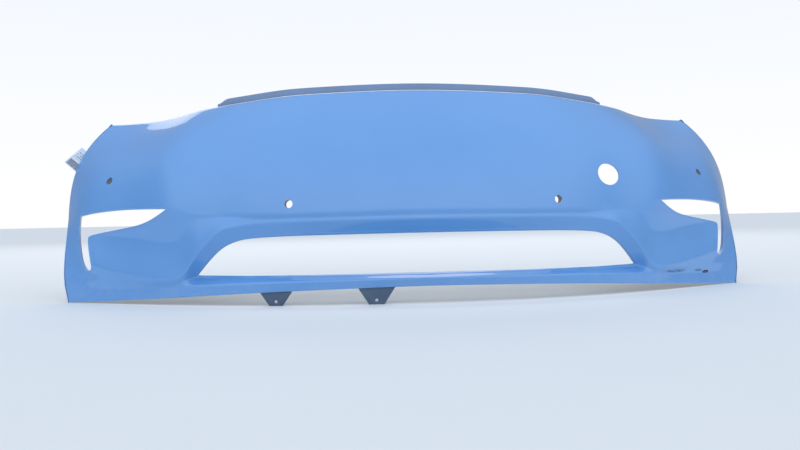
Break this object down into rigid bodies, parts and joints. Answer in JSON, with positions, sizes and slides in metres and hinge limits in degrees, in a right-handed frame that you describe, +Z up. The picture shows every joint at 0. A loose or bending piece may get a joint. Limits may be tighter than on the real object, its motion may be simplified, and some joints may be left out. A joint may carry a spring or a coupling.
{
  "type": "bumper cover",
  "caption": "Painted front bumper cover of a car, bare: wide lower grille opening, L-shaped side openings, sensor holes and a tow-eye hole, with its brackets.",
  "frame": {"origin": "bottom centre of the bounding box to within the 10 mm that the stock label stands out on one side: on the skin's middle plane, midway between its foremost line and its rear edges, at the height of the surface it stands on", "axes": "+X across the car towards the viewer's right when its front is looked at, +Y rearwards from the nose, +Z up"},
  "size_m": [1.9756, 0.4811, 0.5758],
  "materials": {
    "paint": "light blue basecoat under a glossy clear coat, used, with a few scuffs",
    "bare_plastic": "fine-grained moulded polypropylene, dusty",
    "foam_tape": "black closed-cell adhesive foam",
    "clip_steel": "zinc-plated spring steel",
    "label_paper": "coated paper label with plain printed bars"
  },
  "bodies": {
    "root": {"bumper_skin": "paint", "bonnet_edge_strip": "bare_plastic", "stock_label": "label_paper", "under_tray_tab_outer": "bare_plastic", "under_tray_tab_inner": "bare_plastic", "fender_bracket_left": "bare_plastic", "headlamp_bracket_left": "bare_plastic", "sensor_holder_outer_left": "bare_plastic", "sensor_pad_outer_left": "foam_tape", "sensor_holder_inner_left": "bare_plastic", "sensor_pad_inner_left": "foam_tape", "arch_clip_left_1": "clip_steel", "arch_clip_left_2": "clip_steel", "arch_clip_left_3": "clip_steel", "fender_bracket_right": "bare_plastic", "headlamp_bracket_right": "bare_plastic", "sensor_holder_outer_right": "bare_plastic", "sensor_pad_outer_right": "foam_tape", "sensor_holder_inner_right": "bare_plastic", "sensor_pad_inner_right": "foam_tape", "arch_clip_right_1": "clip_steel", "arch_clip_right_2": "clip_steel", "arch_clip_right_3": "clip_steel"}
  },
  "joints": []
}
